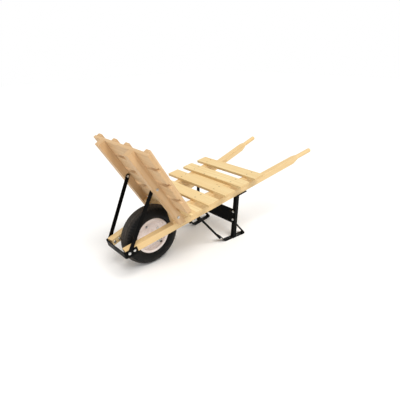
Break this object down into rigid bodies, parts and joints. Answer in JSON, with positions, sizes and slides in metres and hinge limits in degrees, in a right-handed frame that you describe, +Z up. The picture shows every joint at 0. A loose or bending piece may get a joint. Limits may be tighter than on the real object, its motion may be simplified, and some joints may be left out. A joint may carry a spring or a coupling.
{
  "type": "wheelbarrow",
  "caption": "Wooden garden wheelbarrow with a slatted deck, a slatted rack leaning forward over one pneumatic wheel, splayed handles and steel legs.",
  "frame": {"origin": "centre of the footprint on the floor", "axes": "+X towards the handles, +Z up, -Y the left side of someone pushing"},
  "size_m": [1.6141, 0.613, 0.8244],
  "materials": {
    "pine": "planed, unfinished",
    "black_paint": "satin black enamel",
    "cream_paint": "gloss cream enamel",
    "zinc_steel": "zinc plated",
    "bare_steel": "ground",
    "tyre_rubber": "matt",
    "black_rubber": "matt",
    "black_plastic": "matt"
  },
  "bodies": {
    "frame": {"axle": "bare_steel", "axle_nuts": "zinc_steel", "batten_screws": "zinc_steel", "brace_bolts": "zinc_steel", "brace_foot_bolts": "zinc_steel", "bracket_bolts": "zinc_steel", "cross_member": "pine", "deck_screws": "zinc_steel", "deck_slat_1": "pine", "deck_slat_2": "pine", "deck_slat_3": "pine", "deck_slat_4": "pine", "deck_slat_5": "pine", "left_axle_bracket": "black_paint", "left_brace": "black_paint", "left_foot": "black_paint", "left_foot_rod": "black_paint", "left_handle": "pine", "left_leg": "black_paint", "left_post": "pine", "left_riser": "pine", "left_spacer": "black_paint", "leg_bolts": "zinc_steel", "leg_plate": "black_paint", "nose_bolts": "zinc_steel", "nose_guard": "black_paint", "plate_bolts": "zinc_steel", "post_bolts": "zinc_steel", "rack_batten_1": "pine", "rack_batten_2": "pine", "rack_batten_3": "pine", "rack_batten_4": "pine", "rack_screws": "zinc_steel", "rack_slat_1": "pine", "rack_slat_2": "pine", "rack_slat_3": "pine", "rack_slat_4": "pine", "right_axle_bracket": "black_paint", "right_brace": "black_paint", "right_foot": "black_paint", "right_foot_rod": "black_paint", "right_handle": "pine", "right_leg": "black_paint", "right_post": "pine", "right_riser": "pine", "right_spacer": "black_paint", "rod_bolts": "zinc_steel"},
    "wheel": {"hub": "black_paint", "left_bearing": "bare_steel", "right_bearing": "bare_steel", "left_rim": "cream_paint", "right_rim": "cream_paint", "rim_bolts": "zinc_steel", "tyre": "tyre_rubber", "inner_tube": "black_rubber", "valve_stem": "black_rubber", "valve_cap": "black_plastic"}
  },
  "joints": [
    {"name": "wheel_spin", "type": "hinge", "parent": "frame", "child": "wheel", "pos_m": [-0.55836, 0, 0.2], "axis": [0, 1, 0], "continuous": true}
  ]
}
